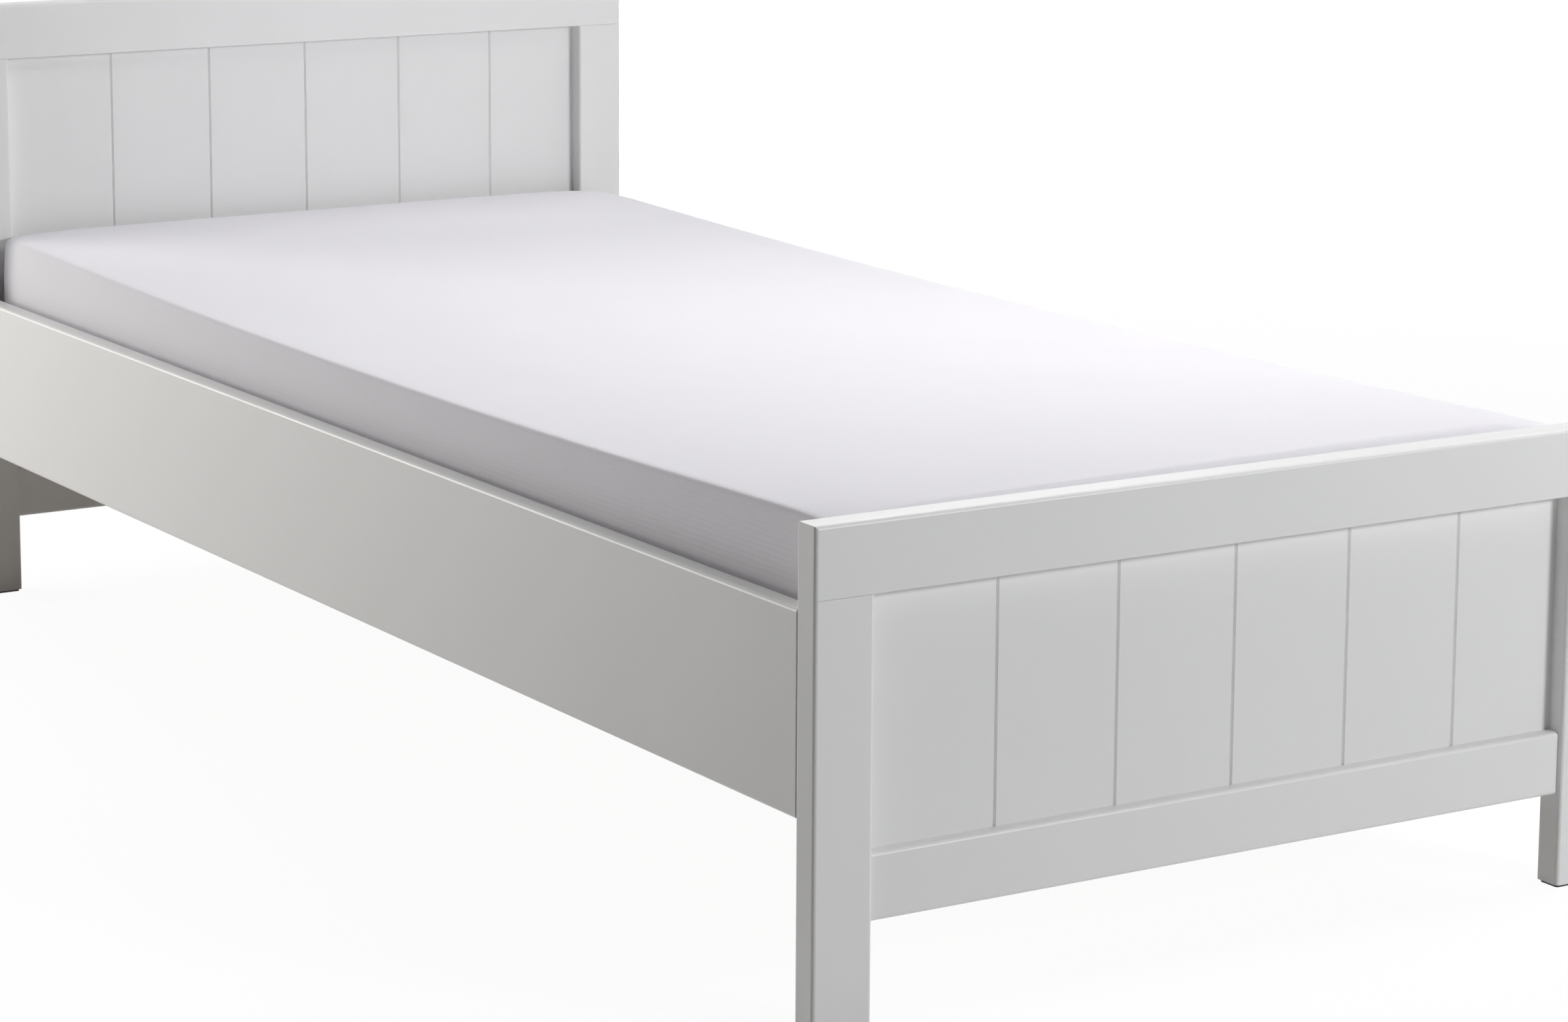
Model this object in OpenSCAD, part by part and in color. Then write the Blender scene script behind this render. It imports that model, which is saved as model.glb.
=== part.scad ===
// Single bed with framed, boarded ends, plain side rails, a slatted base and a foam mattress.
// Millimetres. +Z is up, +Y runs from the foot end to the head end, and +X is across the bed.
// The origin is on the floor under the middle of the bed. Left is -X, as seen from the foot end.

/* [Frame] */
// Width over both side rails
bed_w = 970; // [800:10:1300]
// Clear length between the two end frames
inner_l = 2010; // [1400:10:2300]
// Height of the foot end
foot_h = 482; // [470:1:700]
// Height of the head end
head_h = 771; // [560:1:1100]
// Radius on the long edges of posts and rails
arris_r = 4; // [1:0.5:5]

/* [Posts] */
// Width of a post, seen from the front
post_w = 65; // [58:1:90]
// Thickness of a post and of the top rail
post_t = 32; // [28:1:50]

/* [End rails] */
// Height of the rail that caps the posts
top_rail_h = 70; // [50:1:110]
// Radius on the lower edges of the top rail
joint_r = 1; // [0.5:0.5:2]
// Height of the bottom rail
bottom_rail_h = 66; // [50:1:110]
// Underside of the bottom rail above the floor
bottom_rail_z = 99; // [60:1:130]
// How far the bottom rail stands back from the front of the posts
bottom_rail_setback = 6; // [2:0.5:9]

/* [Boarded panel] */
// Number of boards in each panel
board_count = 6; // [3:1:8]
// Thickness of a board
board_t = 10; // [8:0.5:10.5]
// How far the boards stand in from the back of the posts
panel_back = 1; // [0.5:0.25:2]
// How far the boards reach behind the frame
panel_lap = 12; // [9:0.5:14]
// Distance from the panel's middle to the middle joint, as the last board is ripped to fit
board_shift = 10; // [0:1:20]
// Depth of the chamfer on each side of a board joint
v_cut = 2; // [1:0.25:3]
// Length of the tongue
tongue_l = 6; // [4:0.5:8]
// Thickness of the tongue
tongue_t = 3; // [2:0.25:4]
// Play in a board joint, and between a board's end and its rail
board_play = 0.2; // [0.1:0.05:0.5]
// Room for the panel to swell at its sides and its top
panel_room = 1; // [0.5:0.25:1.5]

/* [Side rails] */
// Thickness of a side rail
side_rail_t = 22; // [18:1:28]
// Height of a side rail
side_rail_h = 199; // [170:1:240]
// Underside of a side rail above the floor
side_rail_z = 201; // [170:1:230]

/* [Slatted base] */
// Width of the ledger that carries the slats
ledger_w = 25; // [20:1:32]
// Height of the ledger
ledger_h = 40; // [32:1:50]
// Top of the ledger above the side rail's underside
ledger_rise = 111; // [105:1:125]
// Gap between a ledger's end and the end frame
ledger_gap = 5; // [2:1:10]
// Number of slats
slat_count = 14; // [10:1:16]
// Width of a slat
slat_w = 70; // [50:1:80]
// Thickness of a slat
slat_t = 18; // [15:1:22]
// Radius on a slat's long edges
slat_r = 2.5; // [1:0.5:4]
// Gap between a slat's end and the side rail
slat_end_gap = 5; // [2:1:10]
// Gap between the outermost slat and the end frame
slat_edge_gap = 15; // [5:1:40]
// Width of the webbing tape under the slats
tape_w = 25; // [20:1:40]
// Thickness of the tape
tape_t = 1.2; // [0.8:0.1:2]
// Distance from the bed's middle to a tape
tape_x = 280; // [150:5:340]

/* [Mattress] */
// Gap between the mattress and each side rail
mattress_side_gap = 13; // [8:1:40]
// Gap between the mattress and each end frame
mattress_end_gap = 5; // [3:1:20]
// Height of the mattress at the middle of its long edge
mattress_edge_h = 132.5; // [100:0.5:180]
// How much higher its two ends stand than the middle of the long edge
mattress_end_rise = 15; // [0:1:25]
// How much the top swells between its edges
mattress_crown = 8; // [0:1:20]
// How far the sides draw in from their fullest line to the top and bottom edges
mattress_draw = 3; // [0:0.5:8]
// How far the sides draw in from the middle of the bed to its corners
mattress_taper = 3; // [0:0.5:10]
// Radius of the top and bottom edges
mattress_edge_r = 12; // [8:1:20]
// Radius of the corners, seen from above
mattress_corner_r = 25; // [20:1:80]
// How far the top falls away at the corners
mattress_corner_drop = 8; // [0:0.5:15]
// Thickness of the cover
cover_t = 3; // [2:0.5:5]
// Clearance under the mattress and round its core
soft_gap = 0.3; // [0.2:0.1:0.5]

/* [Floor glides] */
// Thickness of a glide
glide_t = 3; // [2:0.5:6]
// How far a glide stands in from the post's faces
glide_inset = 3; // [1:0.5:5]
// Radius of a glide's corners
glide_r = 3; // [1:0.5:5]
// Diameter of the peg that holds a glide
glide_peg_d = 8; // [6:0.5:10]
// Length of the peg
glide_peg_l = 16; // [10:1:25]

/* [Dowels] */
// Diameter of the dowels between a post and the top rail
top_dowel_d = 10; // [8:1:10]
// Length of those dowels
top_dowel_l = 60; // [40:1:70]
// Distance between the two dowels in one post
top_dowel_gap = 30; // [24:1:34]
// Diameter of the dowels at the bottom rails and side rails
side_dowel_d = 8; // [6:0.5:10]
// Length of those dowels
side_dowel_l = 40; // [30:1:44]
// Distance from a rail's edge to its nearest dowel
bottom_dowel_edge = 16; // [12:0.5:17]
// Distance between the two dowels at a bottom rail's end
bottom_dowel_gap = 26; // [20:0.5:27]
// Distance from a side rail's edge to its dowels
side_dowel_edge = 36; // [33:0.5:38]
// Room past each end of a dowel
dowel_room = 1; // [0.5:0.25:1.5]

/* [Corner brackets] */
// Thickness of the steel
bracket_t = 3; // [2:0.5:4]
// Inner radius of the bend
bracket_bend_r = 2; // [1:0.5:4]
// Length of the leg on the side rail
bracket_l = 60; // [50:1:90]
// Gap between the bracket and the side rail's underside
bracket_rise = 6; // [3:1:8]
// Gap between the bracket and the ledger above it
bracket_room = 5; // [2:1:10]
// Distance between its two bolts, and between its two rows of screws
bracket_pitch_z = 30; // [26:1:34]
// Distance between the screws along the side rail
bracket_pitch_y = 24; // [16:1:30]
// Distance from the end frame to the nearest screw
bracket_screw_y = 22; // [20:1:24]
// Diameter of the bolts
bolt_d = 6; // [5:1:6]
// Diameter of a bolt's head
bolt_head_d = 12; // [10:0.5:13]
// Height of a bolt's head
bolt_head_h = 3.5; // [3:0.5:5]
// Length of a bolt under its head
bolt_l = 14; // [11:0.5:16]
// Hexagon socket, across its flats
bolt_socket = 4; // [3:0.5:5]
// Outer diameter of the threaded insert that takes a bolt
insert_d = 10; // [9:0.5:11]
// Length of the insert
insert_l = 13; // [10:0.5:16]

/* [Screws, pins and staples] */
// Diameter of a bracket screw
bracket_screw_d = 4; // [3.5:0.25:4.5]
// Length of a bracket screw
bracket_screw_l = 16; // [12:1:20]
// Diameter of a ledger screw
ledger_screw_d = 4.5; // [4:0.25:5]
// Length of a ledger screw
ledger_screw_l = 40; // [32:1:42]
// Number of screws in a ledger
ledger_screw_count = 7; // [4:1:9]
// Distance between the first and last ledger screws and the ledger's ends
ledger_screw_end = 100; // [90:5:140]
// Diameter of a slat screw
slat_screw_d = 4; // [3.5:0.25:4.5]
// Length of a slat screw
slat_screw_l = 35; // [28:1:42]
// Diameter of a panel pin
pin_d = 1.6; // [1.2:0.1:2]
// Length of a panel pin
pin_l = 18; // [14:1:22]
// Distance between the two pins in one end of a board
pin_gap = 70; // [40:1:90]
// Width of a staple across the tape
staple_w = 12; // [10:1:16]
// Length of a staple's legs
staple_l = 10; // [8:1:12]
// Thickness of the staple wire
staple_t = 1; // [0.8:0.1:1.2]
// Clearance round a fastener in its hole
snug = 0.1; // [0.05:0.05:0.2]

/* [Hidden] */
ENDS = ["foot", "head"];
SIDES = ["left", "right"];

// Heights and places of the two end frames: their fronts both face the foot of the bed
end_h = [foot_h, head_h];
front_y = [-inner_l / 2 - post_t, inner_l / 2];
cap_z = [for (h = end_h) h - top_rail_h];
inside_y = [-inner_l / 2, inner_l / 2];

// The opening between the posts, and the clear space between the side rails
field_w = bed_w - 2 * post_w;
inner_w = bed_w - 2 * side_rail_t;
rail_inside = inner_w / 2;

// The panel
board_pitch = field_w / board_count;
bottom_rail_top = bottom_rail_z + bottom_rail_h;
bottom_rail_t = post_t - bottom_rail_setback;
panel_recess = post_t - board_t - panel_back;
panel_foot_z = bottom_rail_top - panel_lap;

// The slatted base
ledger_z = side_rail_z + ledger_rise - ledger_h;
slat_z = side_rail_z + ledger_rise;
slat_l = inner_w - 2 * slat_end_gap;
slat_first_y = -inner_l / 2 + slat_edge_gap + slat_w / 2;
slat_pitch = -2 * slat_first_y / (slat_count - 1);
ledger_l = inner_l - 2 * ledger_gap;
slat_screw_x = rail_inside - (slat_end_gap + ledger_w) / 2;

// The bracket's leg on the post ends where the panel's rebate starts
bracket_reach = post_w - side_rail_t - panel_lap;
bracket_z = side_rail_z + bracket_rise;
bracket_h = ledger_z - bracket_room - bracket_z;
bolt_x = (bracket_t + bracket_reach) / 2;

// Side rail dowels: the upper one keeps clear of the foot end's top dowels
upper_dowel_z = min(
    side_rail_z + side_rail_h - side_dowel_edge, cap_z[0] - top_dowel_l / 2 - 2 * side_dowel_d
);
side_dowel_z = [side_rail_z + side_dowel_edge, upper_dowel_z];

// The mattress
mattress_w = inner_w - 2 * mattress_side_gap;
mattress_l = inner_l - 2 * mattress_end_gap;
mattress_z = slat_z + slat_t + soft_gap;

// Head height and width of a countersunk screw, and how far a screw's point tapers
countersink_share = 0.55;
head_share = 2;
screw_tip = 3;
recess_w = 1;
recess_depth = 1.5;

dowel_chamfer = 1;
pin_head_d = 2.8;
pin_head_h = 0.6;
round_fn = 48;
small_fn = 32;

// Points round the plan of the mattress: steps in a corner, along a side and along an end
corner_steps = 4;
side_steps = 12;
end_steps = 6;
// How steeply the top rises towards the two ends, and how close to a corner it falls away
end_rise_power = 2.2;
drop_power = [10, 22];
// Share of the plan at which the rings on top of the mattress lie
top_rings = [0.94, 0.8, 0.6, 0.4, 0.2];

white_paint = [0.93, 0.93, 0.92];
bare_pine = [0.87, 0.75, 0.56];
beech = [0.80, 0.63, 0.43];
zinc = [0.74, 0.75, 0.77];
cream_foam = [0.95, 0.92, 0.80];
white_cotton = [0.96, 0.95, 0.97];
grey_tape = [0.80, 0.80, 0.78];
dark_plastic = [0.20, 0.20, 0.20];

// A box from its lowest corner to its highest
module block(lo, hi) {
    translate(lo) cube(hi - lo);
}

// A rectangle from the origin, with one radius for each corner: the corners run round from the origin
module soft_rect(w, h, radii) {
    corners = [[0, 0], [w, 0], [w, h], [0, h]];
    inward = [[1, 1], [-1, 1], [-1, -1], [1, -1]];
    difference() {
        square([w, h]);
        for (i = [0 : 3]) if (radii[i] > 0) difference() {
            translate(corners[i]) square(2 * radii[i], center = true);
            translate(corners[i] + radii[i] * inward[i]) circle(radii[i], $fn = round_fn);
        }
    }
}

// Runs a profile along +X: its own x becomes y, and its own y becomes z
module run_x(l) {
    rotate([90, 0, 90]) linear_extrude(l) children();
}

// Runs a profile along +Y: its own y becomes z
module run_y(l) {
    translate([0, l, 0]) rotate([90, 0, 0]) linear_extrude(l) children();
}

// Places what is drawn for the left side, or its mirror image on the right
module on_side(s) {
    mirror([s, 0, 0]) children();
}

// Places what is drawn for the left corner at the foot in any corner. There the origin is where the
// side rail's inner face meets the end frame, +X points across the bed and +Y along the side rail.
module in_corner(e, s) {
    on_side(s) translate([-rail_inside, inside_y[e], bracket_z]) mirror([0, e, 0]) children();
}

// A dowel along Z with its middle at the origin
module dowel(d, l) {
    r = d / 2;
    c = dowel_chamfer;
    rotate_extrude($fn = small_fn) polygon([
        [0, -l / 2], [r - c, -l / 2], [r, -l / 2 + c], [r, l / 2 - c], [r - c, l / 2], [0, l / 2]
    ]);
}

module dowel_hole(d, l) {
    cylinder(h = l + 2 * dowel_room, d = d + 2 * snug, center = true, $fn = small_fn);
}

// A countersunk screw with its head flush at the origin and its point down
module screw_body(d, l, grow = 0) {
    r = d / 2 + grow;
    head_r = head_share * d / 2 + grow;
    head_l = countersink_share * d;
    rotate_extrude($fn = small_fn) polygon([
        [0, grow], [head_r, grow], [head_r, 0], [r, -head_l], [r, screw_tip - l], [0, -l - grow]
    ]);
}

module screw(d, l) {
    difference() {
        screw_body(d, l);
        for (a = [0, 90]) rotate(a) block(
            [-d / 2, -recess_w / 2, -recess_depth], [d / 2, recess_w / 2, recess_depth]
        );
    }
}

module screw_hole(d, l) {
    screw_body(d, l, grow = snug);
}

// Fastener places. Each draws its children with the fastener's own +Z pointing out of the wood.

module at_top_dowels(e) {
    for (s = [-1, 1], k = [-1, 1]) translate([
        s * (bed_w - post_w) / 2 + k * top_dowel_gap / 2, front_y[e] + post_t / 2, cap_z[e]
    ]) children();
}

module at_bottom_dowels(e) {
    dowel_y = front_y[e] + (bottom_rail_setback + panel_recess) / 2;
    for (s = [-1, 1], k = [0, 1]) translate([
        s * field_w / 2, dowel_y, bottom_rail_z + bottom_dowel_edge + k * bottom_dowel_gap
    ]) rotate([0, 90, 0]) children();
}

module at_side_dowels(e) {
    for (s = [-1, 1], z = side_dowel_z) translate([s * (bed_w - side_rail_t) / 2, inside_y[e], z])
        rotate([90, 0, 0]) children();
}

// Heights of a bracket's bolts and screws above its lower edge
function bracket_rows() = [for (k = [-1, 1]) bracket_h / 2 + k * bracket_pitch_z / 2];

module at_bolts(e, s) {
    in_corner(e, s) for (z = bracket_rows()) translate([bolt_x, bracket_t, z]) rotate([-90, 0, 0])
        children();
}

module at_bracket_screws(e, s) {
    in_corner(e, s) for (z = bracket_rows(), k = [0, 1]) translate([
        bracket_t, bracket_screw_y + k * bracket_pitch_y, z
    ]) rotate([0, 90, 0]) children();
}

module at_ledger_screws(s) {
    span = ledger_l - 2 * ledger_screw_end;
    for (k = [0 : ledger_screw_count - 1]) on_side(s) translate([
        ledger_w - rail_inside, span * (k / (ledger_screw_count - 1) - 1 / 2), ledger_z + ledger_h / 2
    ]) rotate([0, 90, 0]) children();
}

module at_slat_screws(s) {
    for (k = [0, slat_count - 1]) on_side(s) translate([
        -slat_screw_x, slat_first_y + k * slat_pitch, slat_z + slat_t
    ]) children();
}

module at_panel_pins(e) {
    for (i = [1 : board_count], k = [-1, 1], z = [panel_foot_z, cap_z[e]]) translate([
        board_middle(i) + k * pin_gap / 2, front_y[e] + panel_recess + board_t, z + panel_lap / 2
    ]) rotate([-90, 0, 0]) children();
}

module at_staples(s) {
    for (i = [0 : slat_count - 1]) on_side(s) translate([
        -tape_x, slat_first_y + i * slat_pitch, slat_z - tape_t
    ]) children();
}

// End frames

module post_shape(e, s) {
    difference() {
        on_side(s) translate([-bed_w / 2, front_y[e], glide_t]) linear_extrude(cap_z[e] - glide_t)
            soft_rect(post_w, post_t, [arris_r, arris_r, arris_r, arris_r]);
        on_side(s) block(
            [-field_w / 2 - panel_lap, front_y[e] + panel_recess, panel_foot_z],
            [0, front_y[e] + post_t + snug, head_h]
        );
        on_side(s) translate([(post_w - bed_w) / 2, front_y[e] + post_t / 2, glide_t])
            dowel_hole(glide_peg_d, 2 * glide_peg_l);
        at_top_dowels(e) dowel_hole(top_dowel_d, top_dowel_l);
        at_bottom_dowels(e) dowel_hole(side_dowel_d, side_dowel_l);
        at_side_dowels(e) dowel_hole(side_dowel_d, side_dowel_l);
        at_bolts(e, s) translate([0, 0, -bracket_t])
            dowel_hole(insert_d, 2 * max(insert_l, bolt_l - bracket_t));
    }
}

module post(e, s) {
    color(white_paint) post_shape(e, s);
}

module top_rail(e) {
    color(white_paint) difference() {
        intersection() {
            translate([-bed_w / 2, front_y[e], cap_z[e]]) run_x(bed_w)
                soft_rect(post_t, top_rail_h, [joint_r, joint_r, arris_r, arris_r]);
            translate([-bed_w / 2, front_y[e], cap_z[e]]) linear_extrude(top_rail_h)
                soft_rect(bed_w, post_t, [arris_r, arris_r, arris_r, arris_r]);
        }
        block(
            [-field_w / 2 - panel_lap, front_y[e] + panel_recess, 0],
            [field_w / 2 + panel_lap, front_y[e] + post_t + snug, cap_z[e] + panel_lap]
        );
        at_top_dowels(e) dowel_hole(top_dowel_d, top_dowel_l);
        at_panel_pins(e) pin_hole();
    }
}

module bottom_rail(e) {
    color(white_paint) difference() {
        translate([-field_w / 2, front_y[e] + bottom_rail_setback, bottom_rail_z]) run_x(field_w)
            soft_rect(bottom_rail_t, bottom_rail_h, [arris_r, joint_r, 0, arris_r]);
        block(
            [-field_w / 2 - snug, front_y[e] + panel_recess, panel_foot_z],
            [field_w / 2 + snug, front_y[e] + post_t + snug, head_h]
        );
        at_bottom_dowels(e) dowel_hole(side_dowel_d, side_dowel_l);
        at_panel_pins(e) pin_hole();
    }
}

// Where the joint after board i lies. The outer boards run on behind the posts instead.
function joint_x(i) = i == 0 ? -field_w / 2 - panel_lap + panel_room
    : i == board_count ? field_w / 2 + panel_lap - panel_room
    : -field_w / 2 + i * board_pitch + board_shift;

function seen_x(i) = max(-field_w / 2, min(field_w / 2, joint_x(i)));
function board_middle(i) = (seen_x(i - 1) + seen_x(i)) / 2;

// Board from above: chamfered on its front edges, with a tongue on the left and a groove on the right
module board_plan(i) {
    left = joint_x(i - 1) + (i == 1 ? 0 : board_play / 2);
    right = joint_x(i) - (i == board_count ? 0 : board_play / 2);
    tongue_y = (board_t - tongue_t) / 2;
    difference() {
        union() {
            polygon([
                [left, v_cut], [left + v_cut, 0], [right - v_cut, 0], [right, v_cut],
                [right, board_t], [left, board_t]
            ]);
            if (i > 1) translate([left - tongue_l, tongue_y]) square([tongue_l + v_cut, tongue_t]);
        }
        if (i < board_count) translate([right - tongue_l - board_play, tongue_y - snug])
            square([tongue_l + 2 * board_play, tongue_t + 2 * snug]);
    }
}

module board(e, i) {
    color(white_paint) difference() {
        translate([0, front_y[e] + panel_recess, panel_foot_z])
            linear_extrude(cap_z[e] + panel_lap - panel_room - panel_foot_z) board_plan(i);
        at_panel_pins(e) pin_hole();
    }
}

// Side rails and slatted base

module side_rail(s) {
    color(white_paint) difference() {
        on_side(s) translate([-bed_w / 2, -inner_l / 2, side_rail_z]) run_y(inner_l)
            soft_rect(side_rail_t, side_rail_h, [arris_r, arris_r, arris_r, arris_r]);
        for (e = [0, 1]) {
            at_side_dowels(e) dowel_hole(side_dowel_d, side_dowel_l);
            at_bracket_screws(e, s) screw_hole(bracket_screw_d, bracket_screw_l);
        }
        at_ledger_screws(s) screw_hole(ledger_screw_d, ledger_screw_l);
    }
}

module slat_ledger(s) {
    color(bare_pine) difference() {
        on_side(s) translate([-rail_inside, -ledger_l / 2, ledger_z]) run_y(ledger_l)
            soft_rect(ledger_w, ledger_h, [0, slat_r, slat_r, 0]);
        at_ledger_screws(s) screw_hole(ledger_screw_d, ledger_screw_l);
        at_slat_screws(s) screw_hole(slat_screw_d, slat_screw_l);
    }
}

module slat(i) {
    color(bare_pine) difference() {
        translate([-slat_l / 2, slat_first_y + (i - 1) * slat_pitch - slat_w / 2, slat_z]) run_x(slat_l)
            soft_rect(slat_w, slat_t, [slat_r, slat_r, slat_r, slat_r]);
        for (s = [0, 1]) {
            at_slat_screws(s) screw_hole(slat_screw_d, slat_screw_l);
            at_staples(s) staple_hole();
        }
    }
}

module slat_tape(s) {
    tape_l = 2 * abs(slat_first_y) + slat_w;
    color(grey_tape) difference() {
        on_side(s) block(
            [-tape_x - tape_w / 2, -tape_l / 2, slat_z - tape_t],
            [-tape_x + tape_w / 2, tape_l / 2, slat_z]
        );
        at_staples(s) staple_hole();
    }
}

// Floor glides

module floor_glide(e, s) {
    w = post_w - 2 * glide_inset;
    d = post_t - 2 * glide_inset;
    color(dark_plastic) on_side(s) translate([(post_w - bed_w) / 2, front_y[e] + post_t / 2, 0]) {
        translate([-w / 2, -d / 2, 0]) linear_extrude(glide_t)
            soft_rect(w, d, [glide_r, glide_r, glide_r, glide_r]);
        cylinder(h = glide_t + glide_peg_l, d = glide_peg_d, $fn = small_fn);
    }
}

// Corner brackets and their bolts

module corner_bracket(e, s) {
    color(zinc) difference() {
        in_corner(e, s) linear_extrude(bracket_h) difference() {
            soft_rect(bracket_reach, bracket_l, [bracket_bend_r + bracket_t, 0, 0, 0]);
            translate([bracket_t, bracket_t]) soft_rect(bracket_reach, bracket_l, [bracket_bend_r, 0, 0, 0]);
        }
        at_bolts(e, s) cylinder(h = 4 * bracket_t, d = bolt_d + 6 * snug, center = true, $fn = small_fn);
        at_bracket_screws(e, s) screw_hole(bracket_screw_d, bracket_screw_l);
    }
}

module bracket_bolts() {
    color(zinc) for (e = [0, 1], s = [0, 1]) at_bolts(e, s) difference() {
        union() {
            cylinder(h = bolt_head_h, d = bolt_head_d, $fn = round_fn);
            translate([0, 0, -bolt_l]) cylinder(h = bolt_l + bolt_head_h / 2, d = bolt_d, $fn = small_fn);
        }
        translate([0, 0, bolt_head_h / 3]) cylinder(h = bolt_head_h, d = bolt_socket / cos(30), $fn = 6);
    }
}

module insert_nuts() {
    color(zinc) for (e = [0, 1], s = [0, 1]) at_bolts(e, s) translate([0, 0, -bracket_t - insert_l])
        difference() {
            cylinder(h = insert_l, d = insert_d, $fn = small_fn);
            translate([0, 0, -snug]) cylinder(h = insert_l + 2 * snug, d = bolt_d + 2 * snug, $fn = small_fn);
        }
}

// Dowels, screws, pins and staples

module top_rail_dowels() {
    color(beech) for (e = [0, 1]) at_top_dowels(e) dowel(top_dowel_d, top_dowel_l);
}

module bottom_rail_dowels() {
    color(beech) for (e = [0, 1]) at_bottom_dowels(e) dowel(side_dowel_d, side_dowel_l);
}

module side_rail_dowels() {
    color(beech) for (e = [0, 1]) at_side_dowels(e) dowel(side_dowel_d, side_dowel_l);
}

module bracket_screws() {
    color(zinc) for (e = [0, 1], s = [0, 1]) at_bracket_screws(e, s) screw(bracket_screw_d, bracket_screw_l);
}

module ledger_screws() {
    color(zinc) for (s = [0, 1]) at_ledger_screws(s) screw(ledger_screw_d, ledger_screw_l);
}

module slat_screws() {
    color(zinc) for (s = [0, 1]) at_slat_screws(s) screw(slat_screw_d, slat_screw_l);
}

module panel_pins() {
    color(zinc) for (e = [0, 1]) at_panel_pins(e) {
        cylinder(h = pin_head_h, d = pin_head_d, $fn = small_fn);
        translate([0, 0, -pin_l]) cylinder(h = pin_l + pin_head_h / 2, d = pin_d, $fn = small_fn);
    }
}

module pin_hole() {
    translate([0, 0, -pin_l - snug]) cylinder(h = pin_l + 1, d = pin_d + 2 * snug, $fn = small_fn);
}

// A staple from below: its crown lies on the tape and its legs go up into the slat
module staple() {
    block([-staple_w / 2, -staple_t / 2, -staple_t], [staple_w / 2, staple_t / 2, 0]);
    for (k = [0, 1]) mirror([k, 0, 0]) block(
        [staple_w / 2 - staple_t, -staple_t / 2, -staple_t / 2],
        [staple_w / 2, staple_t / 2, staple_l]
    );
}

module staple_hole() {
    for (k = [0, 1]) mirror([k, 0, 0]) block(
        [staple_w / 2 - staple_t - snug, -staple_t / 2 - snug, -snug],
        [staple_w / 2 + snug, staple_t / 2 + snug, staple_l + snug]
    );
}

module tape_staples() {
    color(zinc) for (s = [0, 1]) at_staples(s) staple();
}

// Mattress

// Quarter of its plan, from the middle of the right side round the corner to the middle of the head
// end, as shares of the half width and half length and as steps into the corner's arc
function side_row(w, l, r) = [for (i = [0 : side_steps / 2 - 1]) [w, i * (l - r) / (side_steps / 2)]];
function corner_row(w, l, r) = [
    for (i = [0 : corner_steps]) [w - r, l - r] + r * [cos(90 * i / corner_steps), sin(90 * i / corner_steps)]
];
function end_row(w, l, r) = [for (i = [1 : end_steps / 2]) [(w - r) * (1 - i / (end_steps / 2)), l]];
function quarter(w, l, r) = concat(side_row(w, l, r), corner_row(w, l, r), end_row(w, l, r));
function backwards(p) = [for (i = [len(p) - 1 : -1 : 0]) p[i]];
function inner_part(p) = [for (i = [1 : len(p) - 1]) p[i]];

// The whole plan, anticlockwise
function half_plan(q) = concat(q, [for (p = inner_part(backwards(q))) [-p[0], p[1]]]);
function plan(w, l, r) = let (h = half_plan(quarter(w, l, r)))
    concat(h, [for (i = [1 : len(h) - 2]) -h[i]]);

// The sides draw in towards the corners
function tapered(p, l) = [p[0] * (1 - mattress_taper / mattress_w * 2 * pow(abs(p[1]) / l, 2)), p[1]];

// Height of the top over the mattress's underside: up at the two ends, swelling between the edges and
// falling away at the corners
function top_h(x, y, w, l) = let (across = min(1, abs(x) / w), along = min(1, abs(y) / l))
    mattress_edge_h + mattress_end_rise * pow(along, end_rise_power)
    + mattress_crown * (1 - pow(across, 2)) * (1 - pow(along, 2))
    - mattress_corner_drop * pow(across, drop_power[0]) * pow(along, drop_power[1]);

// One ring of points: how far it stands in from the fullest line, a share of the plan on top, and its
// height as a share of the top's height there plus a rise
function ring(inset, share, h_share, rise, shrink) = let (
    w = mattress_w / 2 - shrink,
    l = mattress_l / 2 - shrink,
    r = mattress_corner_r - shrink
) [for (q = plan(w - inset, l - inset, r)) let (p = share * tapered(q, l))
    [p[0], p[1], h_share * (top_h(p[0], p[1], w, l) - 2 * shrink) + rise + shrink]];

// All rings from the underside to the top; shrink makes the smaller form of the core
function rings(shrink) = let (
    edge = mattress_edge_r - shrink,
    lean = mattress_draw,
    bite = edge * (1 - cos(45))
) concat(
    [
        ring(lean + edge, 1, 0, 0, shrink),
        ring(lean + bite, 1, 0, bite, shrink),
        ring(lean, 1, 0, edge, shrink),
        ring(0, 1, 1 / 2, 0, shrink),
        ring(lean, 1, 1, -edge, shrink),
        ring(lean + bite, 1, 1, -bite, shrink),
        ring(lean + edge, 1, 1, 0, shrink)
    ],
    [for (t = top_rings) ring(lean + edge, t, 1, 0, shrink)]
);

// A closed skin over the rings, with a fan of triangles underneath and one on top
module padded_form(shrink) {
    rows = rings(shrink);
    n = len(rows[0]);
    last = len(rows) - 1;
    w = mattress_w / 2 - shrink;
    l = mattress_l / 2 - shrink;
    function at(k, i) = k * n + i % n;
    under = [0, 0, shrink];
    over = [0, 0, top_h(0, 0, w, l) - shrink];
    points = concat([for (row = rows, p = row) p], [under, over]);
    faces = concat(
        [for (k = [0 : last - 1], i = [0 : n - 1]) [at(k, i), at(k + 1, i), at(k + 1, i + 1)]],
        [for (k = [0 : last - 1], i = [0 : n - 1]) [at(k, i), at(k + 1, i + 1), at(k, i + 1)]],
        [for (i = [0 : n - 1]) [at(last, i), (last + 1) * n + 1, at(last, i + 1)]],
        [for (i = [0 : n - 1]) [at(0, i + 1), (last + 1) * n, i]]
    );
    translate([0, 0, mattress_z]) polyhedron(points, faces, convexity = 4);
}

module mattress_core() {
    color(cream_foam) padded_form(cover_t + soft_gap);
}

module mattress_cover() {
    color(white_cotton) difference() {
        padded_form(0);
        padded_form(cover_t);
    }
}

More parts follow.
